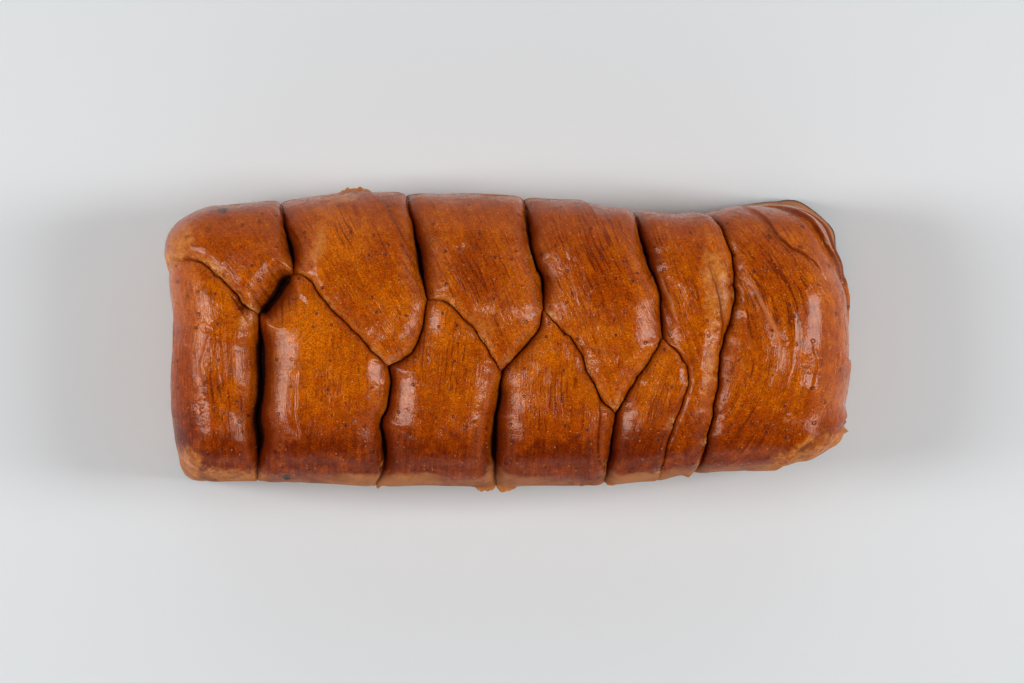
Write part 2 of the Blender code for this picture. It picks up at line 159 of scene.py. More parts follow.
# Each crossing: a place inside it in millimetres, and the way its strand runs there in degrees. The
# strand of the end crossing turns round a centre instead.
CROSSINGS = {
    "far_1": ((-115, 41), -50), "far_2": ((-64, 33), -58), "far_3": ((-13, 33), -64),
    "far_4": ((36, 25), -66), "far_5": ((75, 25), -72), "near_1": ((-120, -25), -88),
    "near_2": ((-77, -25), -92), "near_3": ((-28, -25), -95), "near_4": ((17, -29), -92),
    "near_5": ((56, -33), -108), "end": ((115, 0), None),
}
END_TURN_CENTRE = (48 * MM, -4 * MM)
# The radius, in millimetres, at which its lengths are measured.
END_TURN_RADIUS = 60

# A seam where two crossings meet: over, under, path, depth share at its two ends, tightness, raggedness.
# Where the tightness is below zero the seam gapes instead.
SEAMS = (
    ("far_1", "near_1",
     [("left", 20), (-137, 27), (-131.5, 31.5), (-125, 31.5), (-115, 23.5), (-105.5, 14), MEET_1],
     0.2, 0.65, 0.8, 2.6),
    ("far_1", "far_2", [MEET_2, (-88, 35), (-91.5, 48), ("far", -97)], 1, 1, -0.5, 1),
    ("far_1", "near_2", [MEET_1, (-95, 17), (-91, 23.5), MEET_2], 1, 1, -1, 1),
    ("near_1", "near_2",
     [MEET_1, (-100.5, -6), (-100.5, -21), (-102, -31), (-101, -41), (-102, -52), ("near", -104)],
     1, 1, -1, 0.6),
    ("far_2", "near_2", [MEET_2, (-81, 24.5), (-73, 14.5), (-59.5, 1), MEET_3], 0.6, 0.5, 0.75, 1.6),
    ("far_2", "near_3", [MEET_3, (-40.5, -6.5), (-35.5, 1), MEET_4], 0.8, 0.8, 0.2, 1.5),
    ("near_2", "near_3",
     [MEET_3, (-47.5, -18), (-49, -27), (-51.5, -34), (-50, -48), (-53.5, -54), ("near", -54)],
     0.95, 1, -0.6, 0.8),
    ("far_2", "far_3", [MEET_4, (-36, 31), (-38, 43), (-40.5, 52), ("far", -43)], 0.9, 1, -0.5, 1),
    ("far_3", "near_3", [MEET_4, (-25.5, 15), (-17.5, 8.5), (-10, -0.5), MEET_5], 0.55, 0.5, 0.75, 2),
    ("far_3", "near_4", [MEET_5, (6, -3.5), (12, 3.5), MEET_6], 0.8, 0.75, 0.15, 1.6),
    ("near_3", "near_4", [MEET_5, (-4.5, -27), (-6, -41), (-4.5, -54), ("near", -3)], 1, 1, -0.9, 1),
    ("far_3", "far_4", [MEET_6, (13.5, 24), (9, 37), (6.5, 53), ("far", 5)], 0.9, 1, -0.5, 1.4),
    ("far_4", "near_4", [MEET_6, (22, 4), (29, -4), (36, -20), MEET_7], 0.5, 0.6, 0.75, 2),
    ("far_4", "near_5", [MEET_7, (50, -19), (57.5, -8), MEET_8], 0.8, 0.65, 0.4, 1.8),
    ("near_4", "near_5", [MEET_7, (42, -39), (40, -52), ("near", 38)], 0.95, 0.9, -0.3, 1.6),
    ("far_4", "far_5", [MEET_8, (61, 19), (56.5, 31), (52.5, 46), ("far", 51)], 0.9, 1, -0.4, 1),
    ("near_5", "far_5", [MEET_8, (70, -7), (73, -16), (69, -30), (64, -42), (61, -52), ("near", 60)],
     0.5, 0.15, 0.9, 1.6),
    ("far_5", "end", [("far", 79), (80.5, 49), (88, 40), (91, 28), (91, 14), (86, -5), (84, -22), (81, -38),
                      (76, -52), ("near", 73)], 0.7, 1, 0.3, 1.6),
)

# Folds inside one crossing: path, heights of the sides to its left and right, and how far they reach.
FOLDS = (
    ([(-62.5, 57.5), (-49.5, 48.5), (-42.5, 39), (-37.5, 33)], -0.9, 0.9, 3),
    ([(-71, 46), (-77, 31), (-74, 17)], 0.7, 0.7, 4),
    ([(-17.5, 38.5), (-13, 33.5)], -0.5, 0.3, 2),
    ([(28, 56.5), (32, 50), (37, 44.5)], -0.7, 0.6, 3),
    ([(29, -2.5), (36, -4), (42, -7)], 0.7, -0.3, 3),
    ([(35.5, -18), (37.5, -28), (36.5, -40), (38, -50)], -0.5, 1, 2),
    ([(31, -24), (33.5, -33), (32.5, -42), (34, -50)], 0.6, -0.4, 2),
    ([(25, -50.5), (30, -53), (34, -51.5), (38, -53)], 0.8, -0.8, 2),
    ([(60, 30), (62, 24), (66, 14), (70, 3)], 1.2, 1, 1.8),
    ([(57.5, 28), (60, 22), (64, 12), (67, 4)], -0.8, -0.5, 1.4),
    ([(93.5, 33), (95.5, 28), (99.5, 19), (104.5, 9.5), (108.5, 0.5), (109, -9), (105, -20)], 1.1, 0.9, 1.1),
    ([(92.5, 28), (97, 17), (102, 7), (105.5, -1), (106, -9)], -0.8, -0.8, 1.2),
    ([(104, 53), (114.5, 48), (123, 39.5), (127.5, 32), (133, 23), (137, 12)], 1.3, -0.8, 3),
    ([(116.5, 52.5), (124, 46.5), (131, 41), (134.5, 32), (136, 19), (136.5, 4)], 1.4, -0.9, 2.5),
    ([(95.5, 49), (105, 43), (112, 37), (120.5, 30), (126, 20)], 0.8, -0.7, 2.5),
    ([(97, -53), (103, -50.5), (108, -48), (113, -44.5), (121.5, -38.5), (130, -34), (137, -30.5),
      (138.5, -27)],
     1.4, -1.2, 4),
    ([(130, -5), (135, -12), (137, -18), (134, -26)], -0.8, 0.8, 2.5),
    ([(121, 0), (122, -12), (119, -24), (112, -33)], 0.25, -0.25, 3),
    ([(113, 18), (115, 6), (114, -10), (109, -22)], 0.3, 0.3, 1.2),
    # Low ridges and hollows of single strands.
    ([(-128, 22), (-130, 5), (-128, -14), (-131, -30)], 0.5, -0.5, 2.5),
    ([(-118, 8), (-121, -10), (-119, -26)], 0.3, -0.4, 2),
    ([(-112.5, 19), (-108, 12.5), (-104.5, 6)], -0.9, 0.4, 2),
    ([(24, 34), (27, 18), (33, 3)], 0.4, -0.4, 2.5),
    ([(30, 30), (33, 14), (38, 0)], -0.3, 0.5, 2.5),
    ([(1, 24), (0, 12), (-3, 2)], 0.4, -0.3, 2.5),
    ([(79, 34), (84, 20), (86, 6), (83, -8)], -0.7, 0.9, 2),
    ([(-84, -12), (-85, -26), (-83, -40)], 0.3, -0.4, 2.5),
)

# Broad swellings: middle seen from above, radius and height in millimetres.
DOMES = (
    (-3, 12, 8, 2.2), (117, -18, 9, 1.4), (52, 12, 8, 1), (-40, -24, 8, 0.6), (120, 20, 12, 0.8),
    (-66, 20, 12, 0.6), (28, -18, 10, 0.5), (-46, 1, 7, 1), (-107, 25, 7, 1), (41, -18, 7, 0.7),
)

# Small lumps and, below zero, pits: middle seen from above, radius and height in millimetres.
LUMPS = (
    (-65.5, 59, 2.6, 1.8), (-61, 60, 2.2, 2.2), (-58, 59, 1.8, 1.4), (-10, -60, 2.4, 2.4),
    (-6, -61, 2, 1.8), (-2, -60, 2.4, 2.6), (1.5, -60, 1.6, 1.6), (137, -38, 1.6, 1.8),
    (138, -34, 1.4, 1.4), (-84, -57, 1.8, -2.2), (-89.5, -58, 1.6, -1.6), (-107, 12.5, 2, -1.8),
    (-109, 15, 1.5, -1.2), (92, 19, 2, -1), (92.8, 14, 2, -1.2), (93, 9, 2, -1), (111.5, -32, 2.2, 0.9),
    (34, 53, 2, -1.6), (30, 55, 1.6, -1.4), (-19, 35, 1.4, -1.4), (42, -53, 1.8, 1.2), (-53, -57, 1.6, 1.4),
    (-102, -57, 1.6, 1.2), (74, -52, 1.6, 1.2),
)

# A fold's step width, its growth over the two heights, the reach of its line, the heights of a step and of a
# ridge that are coloured in full, and its raggedness.
FOLD_SLOPE = 0.4 * MM
FOLD_GROWTH = 1.5
FOLD_LINE = 1.1 * MM
FULL_STEP = 1.5
FULL_RIDGE = 2
FOLD_RAGGEDNESS = 1.6

# Oval patches of the crust seen from above: middle, half length and half width in millimetres, direction in
# degrees, strength.
PATCHES = {
    "pale": (
        (-134, 37, 14, 5, 60, 0.8), (-130, -50, 9, 6, -30, 0.9), (-112, -55, 16, 3, -4, 0.8),
        (-76, 38, 9, 3.5, 75, 0.6), (-68, 58, 8, 2.4, 0, 0.8), (84, 22, 19, 6, 95, 0.8),
        (82, -10, 12, 2.5, 80, 0.8), (-26, 17, 4, 2, 0, 0.8), (-9, 8, 10, 6, 60, 0.3),
        (-90, -10, 18, 7, 80, 0.25), (122, -45, 20, 5, 27, 0.8), (-105, 8, 5, 3, 50, 0.6),
        (-118, 30, 8, 1.6, -30, 0.5),
    ),
    "wrinkled": (
        (-127, -10, 26, 8, 80, 1), (-41, 5, 12, 7, 90, 1), (27, 16, 20, 10, 105, 1),
        (40, -5, 8, 6, 60, 1), (108, -6, 20, 6, 100, 0.8), (124, -20, 12, 5, 110, 0.3),
        (129, 28, 20, 8, 120, 0.8), (-2, 20, 12, 6, 100, 0.5), (70, 12, 14, 6, 70, 0.7),
        (-62, 14, 12, 6, 120, 0.7), (60, -28, 14, 5, 70, 0.8), (36, -38, 16, 4, 85, 1),
        (-85, -20, 12, 6, 90, 0.4), (-8, -22, 14, 5, 85, 0.4), (-44, 1, 11, 8, -58, 1),
        (-106, 26, 11, 9, -50, 1), (0, 9, 12, 8, -64, 1), (20, 16, 20, 6, -66, 0.8),
    ),
    "scorched": (
        (-116, 52.5, 2.4, 1.2, 10, 0.8), (-89.5, -56, 1.7, 1.2, 0, 1), (-121, 45, 3, 1.4, 30, 0.3),
    ),
    "browned": (
        (-12, 27, 18, 11, -64, 0.7), (38, 24, 22, 12, -66, 0.7), (-118, -46, 12, 10, 0, 0.5),
        (56, -44, 12, 12, 90, 0.5), (114, 22, 26, 10, -50, 0.4), (100, -36, 14, 10, 0, 0.3),
        (-30, -48, 16, 8, 0, 0.1), (20, -46, 16, 8, 0, 0.5), (-78, -46, 16, 8, 0, 0.4),
        # The last patch darkens the left end of the near side with painted shade.
        (-4, 6, 8, 6, 60, 0.3), (60, 30, 14, 5, -70, 0.4), (-133, -22, 34, 9, 88, 1),
    ),
    "golden": (
        (-80, 5, 14, 11, 90, 0.8), (-66, 44, 14, 9, -58, 1), (-118, 18, 8, 8, 0, 0.4),
        (86, 40, 12, 5, -60, 0.6), (-28, 4, 10, 6, 100, 0.5), (12, -2, 12, 8, 80, 0.4),
        (58, -12, 12, 7, 90, 0.5), (120, 44, 14, 8, -30, 0.5),
    ),
    "streaked": (
        (34, 38, 24, 17, -70, 1), (63, 33, 16, 9, -75, 0.9), (108, 22, 28, 19, -60, 1),
        (-27, -2, 14, 13, 90, 0.7), (-10, 25, 18, 13, -64, 0.8), (-120, -24, 34, 17, 85, 0.7),
        (57, -20, 14, 10, 70, 0.7), (97, -40, 14, 10, -20, 0.7), (-64, 24, 14, 10, -58, 0.4),
        (20, -20, 16, 12, 90, 0.4),
    ),
    "matt": ((-134, -24, 31, 9, 88, 0.9), (-133, 44, 12, 7, 60, 0.5), (126, -38, 16, 5, 35, 0.6)),
}

# The camera looks straight down. The photograph shows this many pixels for each metre of the outline.
IMAGE_WIDTH = 1024
PIXELS_PER_METRE = 2446
CAMERA_HEIGHT = 3.0
# The height at which the loaf is widest.
WIDEST_Z = 50 * MM
SENSOR = 36
VIEW_MIDDLE = (1.8 * MM, -1 * MM)

# The floor's half size in metres, and its height, which keeps it clear of the base.
FLOOR_REACH = 3
FLOOR_Z = -0.1 * MM
# The place in the loaf that the lights face, and the room's brightness beside the loaf and overhead.
LIGHT_TARGET = (0, 0, 0.05)
ROOM_LEVEL = 1.1
ROOM_OVERHEAD = 0.05


def smooth_path(points, step):
    """Points about one step apart on a smooth curve through the given ones."""
    given = np.array(points, float)
    ends = np.vstack([2 * given[0] - given[1], given, 2 * given[-1] - given[-2]])
    found = [given[:1]]
    for a, b, c, d in zip(ends, ends[1:], ends[2:], ends[3:]):
        count = max(1, round(float(np.linalg.norm(c - b)) / step))
        t = (np.arange(1, count + 1) / count)[:, None]
        found.append(b + 0.5 * t * (c - a + t * (2 * a - 5 * b + 4 * c - d + t * (3 * b - a - 3 * c + d))))
    return np.vstack(found)


def smooth_steps(table, at):
    """Value of a (place, value) table at each place, eased between its entries."""
    places, values = np.array(table, float).T * MM
    at = np.clip(at, places[0], places[-1])
    index = np.clip(np.searchsorted(places, at) - 1, 0, len(places) - 2)
    t = (at - places[index]) / (places[index + 1] - places[index])
    t = t * t * (3 - 2 * t)
    return values[index] * (1 - t) + values[index + 1] * t


def lengths(vectors):
    """Length of each row."""
    return np.linalg.norm(vectors, axis=1)


def normals_of(line):
    """Unit directions to the left of a line, at each of its points."""
    run = np.gradient(line, axis=0)
    return np.stack([-run[:, 1], run[:, 0]], 1) / lengths(run)[:, None]


def eased(x, low, high):
    """0 below low and 1 above high, with a smooth rise between."""
    t = np.clip((x - low) / (high - low), 0, 1)
    return t * t * (3 - 2 * t)


def noise(u, v, seed):
    """Smooth random waves between about -1 and 1, one unit across."""
    angles = np.random.default_rng(seed).uniform(0, 2 * math.pi, NOISE_ANGLES)
    iu, iv = np.floor(u).astype(np.int64), np.floor(v).astype(np.int64)
    fu, fv = u - iu, v - iv
    su, sv = fu**3 * (fu * (6 * fu - 15) + 10), fv**3 * (fv * (6 * fv - 15) + 10)

    def corner(du, dv):
        mixed = (iu + du) * NOISE_FACTORS[0] ^ (iv + dv) * NOISE_FACTORS[1]
        angle = angles[mixed & (NOISE_ANGLES - 1)]
        return np.cos(angle) * (fu - du) + np.sin(angle) * (fv - dv)

    low = corner(0, 0) * (1 - su) + corner(1, 0) * su
    high = corner(0, 1) * (1 - su) + corner(1, 1) * su
    return 1.5 * (low * (1 - sv) + high * sv)


def noise_along(k, length, seed, row=0):
    """Noise along a line, for places on it and a length of its waves in millimetres."""
    return noise(k / length, k * 0 + row, seed)


def outline_scale(x, y):
    """How much the loaf is stretched along X and Y at a place, so that it has the outline seen from above."""
    along = np.where(x > 0, smooth_steps(RIGHT_END, y), smooth_steps(LEFT_END, y)) / (LENGTH / 2)
    across = np.where(y > 0, smooth_steps(FAR_EDGE, x), smooth_steps(NEAR_EDGE, x)) / (WIDTH / 2)
    ease_x = np.clip(np.abs(x) / SEAM_X, 0, 1) ** 2
    ease_y = np.clip(np.abs(y) / SEAM_Y, 0, 1) ** 2
    return 1 + (along - 1) * ease_x, 1 + (across - 1) * ease_y


def to_sheet(points):
    """Places seen from above, in millimetres, as places on the unrolled sheet."""
    seen = np.array(points, float) * MM
    scale_x, scale_y = outline_scale(seen[:, 0], seen[:, 1])
    plan = np.stack([seen[:, 0] / scale_x, seen[:, 1] / scale_y], 1)
    middle = np.clip(plan, (-FLAT_X, -FLAT_Y), (FLAT_X, FLAT_Y))
    beyond = plan - middle
    out = (np.abs(beyond) ** CORNER_POWER).sum(1) ** (1 / CORNER_POWER)
    turn = np.arcsin(np.clip(out / SHOULDER_OUT, 0, 1)) / (math.pi / 2)
    length = np.maximum(lengths(beyond), 1e-9)
    return middle + beyond / length[:, None] * (turn * SHEET_SHOULDER)[:, None]


def wall_foot(side, place):
    """The place on the sheet's edge where a seam ends that has run down a wall."""
    return {
        "far": np.array([place * MM, FLAT_Y + SHEET_REACH]),
        "near": np.array([place * MM, -FLAT_Y - SHEET_REACH]),
        "left": np.array([-FLAT_X - SHEET_REACH, place * MM]),
    }[side]


def seam_on_sheet(path, step, seed, raggedness):
    """A seam's line on the sheet, a little ragged, with its runs down the walls."""
    on_top = list(to_sheet([p for p in path if not isinstance(p[0], str)]))
    for at, mark in ((len(on_top), path[-1]), (0, path[0])):
        if isinstance(mark[0], str):
            on_top.insert(at, wall_foot(*mark))
    apart = [on_top[0]] + [b for a, b in zip(on_top, on_top[1:]) if np.linalg.norm(b - a) > MM]
    return made_ragged(smooth_path(apart, step), step, seed, raggedness)


def made_ragged(line, step, seed, raggedness):
    """The line with small random bends, except at its ends."""
    k = np.arange(len(line)) * step / MM
    ragged = 0.4 * noise_along(k, 7, seed) + 0.18 * noise_along(k, 3, seed, 9)
    ends = np.clip(np.minimum(k, k[-1] - k) / 4, 0, 1)
    return line + normals_of(line) * (raggedness * ragged * ends * MM)[:, None]


def sheet_parts(sheet):
    """For places on the sheet: nearest point of the level middle, outward direction, and how far round the
    shoulder, down the wall and round the base they are, each from 0 to 1."""
    middle = np.clip(sheet, (-FLAT_X, -FLAT_Y), (FLAT_X, FLAT_Y))
    beyond = sheet - middle
    out = lengths(beyond)
    direction = beyond / np.maximum(out, 1e-9)[:, None]
    turn = np.clip(out / SHEET_SHOULDER, 0, 1)
    wall = np.clip((out - SHEET_SHOULDER) / SHEET_WALL, 0, 1)
    base = np.clip((out - SHEET_SHOULDER - SHEET_WALL) / SHEET_BASE, 0, 1)
    return middle, direction, turn, wall, base


def fall_of_top(plan):
    """How far the top has fallen at each place, and its slopes along X and Y."""
    total = np.zeros(len(plan))
    slopes = np.zeros((len(plan), 2))
    for axis, sign, half, fall, power in (
        (1, 1, SEAM_Y, FALL_FAR, 2.2),
        (1, -1, SEAM_Y, FALL_NEAR, 3.0),
        (0, -1, SEAM_X, FALL_LEFT, 4.0),
        (0, 1, SEAM_X, FALL_RIGHT, 4.0),
    ):
        share = np.clip(sign * plan[:, axis] / half, 0, 1.1)
        total += fall * share**power
        slopes[:, axis] += sign * fall * power * share ** (power - 1) / half
    return total, slopes


def wrapped(sheet):
    """The sheet wrapped round the loaf at the depth of its seams: places, and the directions to rise in."""
    middle, direction, turn, wall, base = sheet_parts(sheet)
    angle = turn * math.pi / 2
    power = CORNER_POWER + BASE_CORNER_POWER * wall * (direction.max(1) < 0)
    size = np.maximum((np.abs(direction) ** power[:, None]).sum(1) ** (1 / power), 1e-9)
    to_corner = lengths(middle - (FLAT_X, FLAT_Y))
    diagonal = np.clip(2 * direction.prod(1), 0, 1)
    flare = np.where(direction[:, 0] < 0, NEAR_LEFT_FLARE, FAR_RIGHT_FLARE) * diagonal
    flare += FOOT * np.exp(-((to_corner / FOOT_REACH) ** 2)) - WALL_LEAN
    out = SHOULDER_OUT * np.sin(angle) + flare * wall - BASE_ROUND * (1 - np.cos(base * math.pi / 2))
    plan = middle + direction * (out / size)[:, None]
    fall, slopes = fall_of_top(plan)
    drop = SHOULDER_DROP + SHOULDER_DROP_SLANT * direction[:, 1]
    z = TOP_Z - fall - drop * (1 - np.cos(angle))
    z = z * (1 - wall) + BASE_ROUND * wall
    z = np.where(base > 0, BASE_ROUND * (1 - np.sin(base * math.pi / 2)), z)
    scale_x, scale_y = outline_scale(plan[:, 0], plan[:, 1])
    places = np.stack([plan[:, 0] * scale_x, plan[:, 1] * scale_y, z], 1)
    level = np.cos(angle)[:, None]
    rise = np.hstack([direction * np.sin(angle)[:, None] + slopes * level, level])
    rise[turn >= 1, 2] = 0
    return places, rise / lengths(rise)[:, None]


def nearest_on(line, points, reach):
    """For each point within reach of a line: index, distance, share along the line, side and way to it."""
    low, high = line.min(0) - reach, line.max(0) + reach
    index = np.flatnonzero(((points > low) & (points < high)).all(1))
    near = points[index]
    best = np.full(len(near), np.inf)
    along, side = np.zeros((2, len(near)))
    way = np.zeros((len(near), 2))
    count = len(line) - 1
    for k in range(count):
        start, run = line[k], line[k + 1] - line[k]
        offset = near - start
        t = np.clip(offset @ run / (run @ run), 0, 1)
        away = offset - t[:, None] * run
        distance = np.hypot(away[:, 0], away[:, 1])
        closer = distance < best
        best[closer] = distance[closer]
        along[closer] = (k + t[closer]) / count
        side[closer] = np.sign(run[0] * offset[:, 1] - run[1] * offset[:, 0])[closer]
        way[closer] = -away[closer]
    return index, best, along, side, way / np.maximum(best, 1e-9)[:, None]


def beside(line, offset):
    """The line moved sideways by an offset, without its end points."""
    return (line + normals_of(line) * offset)[1:-1]


def ring_points(reach, step):
    """A ring of points round the sheet, at one distance beyond its level middle."""
    ring = []
    turns = max(6, round(reach * math.pi / 2 / (2 * step)))
    corners = np.array([(1, 1), (-1, 1), (-1, -1), (1, -1)]) * (FLAT_X, FLAT_Y)
    for k in range(4):
        angles = (k + np.arange(turns + 1) / turns) * math.pi / 2
        around = reach * np.stack([np.cos(angles), np.sin(angles)], 1)
        run = corners[(k + 1) % 4] - corners[k]
        count = round(np.linalg.norm(run) / step)
        share = (np.arange(1, count) / count)[:, None]
        ring += [corners[k] + around, corners[k] + around[-1] + share * run]
    return np.vstack(ring)


def beyond_flat(points):
    """Distance of each point of the sheet from its level middle."""
    return lengths(points - np.clip(points, (-FLAT_X, -FLAT_Y), (FLAT_X, FLAT_Y)))


def grid_points(step, lowest, highest):
    """Points of a triangular grid over the sheet whose distance beyond its level middle is in a range."""
    rows = np.arange(-FLAT_Y - SHEET_REACH, FLAT_Y + SHEET_REACH, step * math.sqrt(3) / 2)
    points = []
    for k, y in enumerate(rows):
        xs = np.arange(-FLAT_X - SHEET_REACH + (k % 2) * step / 2, FLAT_X + SHEET_REACH, step)
        points.append(np.stack([xs, np.full(len(xs), y)], 1))
    points = np.vstack(points)
    beyond = beyond_flat(points)
    return points[(beyond >= lowest) & (beyond < highest)]


def spread(points, kept_from, distance):
    """The points that are at least a distance from each of kept_from's points."""
    cells = {}
    for p in kept_from.tolist():
        cells.setdefault((int(p[0] // distance), int(p[1] // distance)), []).append(p)
    free = []
    for x, y in points.tolist():
        i, j = int(x // distance), int(y // distance)
        near = [q for a in (-1, 0, 1) for b in (-1, 0, 1) for q in cells.get((i + a, j + b), ())]
        if all((q[0] - x) ** 2 + (q[1] - y) ** 2 >= distance**2 for q in near):
            free.append((x, y))
    return np.array(free)


def lay_out(seams, folds):
    """Triangulates the sheet along its seams and folds: points, triangles and the edges on a seam."""
    rim = ring_points(SHEET_REACH, RIM_STEP)
    fixed, edges = [rim], [(k, (k + 1) % len(rim)) for k in range(len(rim))]
    for line in seams + folds:
        first = sum(map(len, fixed))
        fixed.append(line)
        edges += [(first + k, first + k + 1) for k in range(len(line) - 1)]
    seam_edges = range(len(rim), len(rim) + sum(len(line) - 1 for line in seams))
    kept = np.vstack(fixed)
    for offset, room in zip(ROW_OFFSETS, ROW_ROOM):
        rows = np.vstack([beside(line, side * offset) for line in seams + folds for side in (-1, 1)])
        rows = rows[beyond_flat(rows) < SHEET_REACH - room]
        kept = np.vstack([kept, spread(rows, kept, room)])
    for distance in BASE_RINGS:
        ring = ring_points(SHEET_REACH - distance, RIM_STEP)
        kept = np.vstack([kept, spread(ring, kept, 0.8 * BASE_RINGS[0])])
    shoulder_end = SHEET_SHOULDER * 0.95
    for step, lowest, highest in (
        (TOP_STEP, 0, shoulder_end),
        (WALL_STEP, shoulder_end, SHEET_REACH - BASE_RINGS[-1]),
    ):
        kept = np.vstack([kept, spread(grid_points(step, lowest, highest), kept, 0.7 * step)])
    made = delaunay_2d_cdt(kept.tolist(), edges, [], 0, 1e-6)
    places, triangles = np.array(made[0]), np.array(made[2])
    on_seam = {
        tuple(sorted(edge)) for edge, origin in zip(made[1], made[4]) if any(k in seam_edges for k in origin)
    }
    corners = places[triangles]
    side_1, side_2 = corners[:, 1] - corners[:, 0], corners[:, 2] - corners[:, 0]
    turned = side_1[:, 0] * side_2[:, 1] - side_1[:, 1] * side_2[:, 0] < 0
    triangles[turned] = triangles[turned][:, ::-1]
    return places, triangles, on_seam


def crossings_of(places, triangles, on_seam):
    """Which strand crossing each triangle belongs to, found by spreading from triangle to triangle."""
    owner = list(range(len(triangles)))

    def root(k):
        while owner[k] != k:
            owner[k] = owner[owner[k]]
            k = owner[k]
        return k

    seen = {}
    for k, (a, b, c) in enumerate(triangles.tolist()):
        for edge in ((a, b), (b, c), (c, a)):
            edge = (min(edge), max(edge))
            if edge in seen and edge not in on_seam:
                owner[root(k)] = root(seen[edge])
            seen[edge] = k
    patches = np.array([root(k) for k in range(len(triangles))])
    centres = places[triangles].mean(1)
    found = np.zeros(len(triangles), int)
    for k, (middle, _) in enumerate(CROSSINGS.values()):
        nearest = np.argmin(lengths(centres - to_sheet([middle])[0]))
        found[patches == patches[nearest]] = k
    return found


def split_in_four(places, triangles, crossing):
    """Splits every triangle at the middles of its edges."""
    ends = np.sort(np.concatenate([triangles[:, pair] for pair in ([0, 1], [1, 2], [2, 0])]), axis=1)
    edges, index = np.unique(ends, axis=0, return_inverse=True)
    ab, bc, ca = len(places) + index.reshape(3, -1)
    a, b, c = triangles.T
    quarters = [(a, ab, ca), (ab, b, bc), (ca, bc, c), (ab, bc, ca)]
    return (
        np.vstack([places, places[edges].mean(1)]),
        np.vstack([np.stack(q, 1) for q in quarters]),
        np.tile(crossing, 4),
    )


def strand_places(crossing, sheet):
    """Places on the sheet as distances across and along the strand of one crossing, in metres."""
    middle, degrees = list(CROSSINGS.values())[crossing]
    if degrees is None:
        offset = sheet - END_TURN_CENTRE
        return np.hypot(*offset.T), -np.arctan2(offset[:, 1], offset[:, 0]) * END_TURN_RADIUS * MM
    offset = sheet - to_sheet([middle])[0]
    turn = math.radians(degrees)
    along = offset @ (math.cos(turn), math.sin(turn))
    across = offset @ (-math.sin(turn), math.cos(turn))
    return across, along


def bulge(share):
    """Height of a rounded edge from 0 to 1, at a share of its reach."""
    return (1 - (1 - np.clip(share, 0, 1)) ** ROUNDNESS) ** (1 / ROUNDNESS)


def raise_to(mask, index, values):
    """Raises some points of a mask to at least these values."""
    mask[index] = np.maximum(mask[index], values)


def seam_shapes(sheet, lines, label, on_wall, wall):
    """How close each point is to the bottom of a seam, from 0 to 1 and a little more where it gapes, how far
    an upper lip leans it, and masks of upper lips, the painted shade beneath them, torn edges and tight
    seams."""
    names = list(CROSSINGS)
    reach = SEAM_REACH * (1 - on_wall) + WALL_SEAM_REACH * on_wall
    share = (1 - (1 - WALL_SEAM_SHARE) * on_wall) * (1 - 0.5 * wall)
    closeness = np.zeros(len(sheet))
    lean = np.zeros_like(sheet)
    lip, shade, torn, closed = np.zeros((4, len(sheet)))
    for (over, under, _, start, end, tight, raggedness), line in zip(SEAMS, lines):
        index, distance, along, _, way = nearest_on(line, sheet, SEAM_REACH / UNDER_STEEPER)
        k = along * len(line) * SEAM_STEP / MM
        seed = 400 + 10 * names.index(over) + names.index(under)
        change = noise_along(k, 9, seed) + 0.5 * noise_along(k, 3.5, seed + 200)
        ends = eased(np.minimum(along, 1 - along), 0, SEAM_ENDS)
        slow = noise_along(k, 28, seed + 100)
        gape = np.clip(0.5 * slow - tight, 0, 1.5) * (1 - on_wall[index]) * ends
        tight = max(tight, 0)
        depth = (start + (end - start) * along) * share[index] * (1 + GAPE_DEPTH * gape)
        depth *= 1 + 0.1 * slow * ends
        is_over = label[index] == names.index(over)
        is_under = label[index] == names.index(under)
        steeper = np.where(is_over, OVER_STEEPER + TIGHT_STEEPER * tight, UNDER_STEEPER)
        near = 1 - bulge(np.maximum(distance - GAPE * gape, 0) * steeper / reach[index])
        sharp = np.exp(-distance / TIGHT_REACH)
        near = np.where(is_under, near * (1 - TIGHT_SHARE * tight) + TIGHT_SHARE * tight * sharp, near)
        near[~(is_over | is_under) & (distance > ON_LINE)] = 0
        closeness[index] += (depth * near) ** SEAM_MIX
        most = distance / LIP_PLACE * np.exp(1 - distance / LIP_PLACE)
        lean[index] += way * (LIP_LEAN * most * depth * is_over * (1 - on_wall[index]))[:, None]
        on_lip = np.exp(-(((distance - LIP_PLACE) / LIP_WIDTH) ** 2)) * is_over * depth
        on_edge = np.exp(-((distance / TORN_REACH) ** 2)) * is_over
        on_edge *= eased(0.5 * raggedness + change, *TORN_FROM)
        on_edge *= 1 - eased(wall[index], *FADE_DOWN)
        below = np.exp(-distance / (SHADE_REACH * (1 + gape + 0.5 * change))) * is_under * depth
        raise_to(lip, index, on_lip)
        raise_to(torn, index, on_edge)
        raise_to(closed, index, tight * ends * np.exp(-((distance / CLOSED_REACH) ** 2)))
        raise_to(shade, index, below)
    return np.minimum(closeness ** (1 / SEAM_MIX), 1 + GAPE_DEPTH), lean, lip, shade, torn, closed


def fold_heights(sheet, folds):
    """Height that the folds add at each point, and masks of their steps and of their ridges."""
    height, edge, ridge = np.zeros((3, len(sheet)))
    for (_, left, right, width), line in zip(FOLDS, folds):
        index, distance, along, side, _ = nearest_on(line, sheet, 6 * width * MM)
        ends = np.clip(4 * along * (1 - along), 0, 1) ** 0.7
        share = 0.5 + 0.5 * np.tanh(side * distance / FOLD_SLOPE)
        amount = (left * share + right * (1 - share)) * FOLD_GROWTH * MM
        height[index] += amount * ends * np.exp(-distance / (width * MM))
        stepped = min(abs(left - right) / FULL_STEP, 1)
        raised = min(max(left + right, 0) / FULL_RIDGE, 1)
        raise_to(edge, index, stepped * ends * np.exp(-distance / FOLD_LINE))
        raise_to(ridge, index, raised * ends * np.exp(-((distance / FOLD_LINE) ** 2)))
    return height, edge, ridge


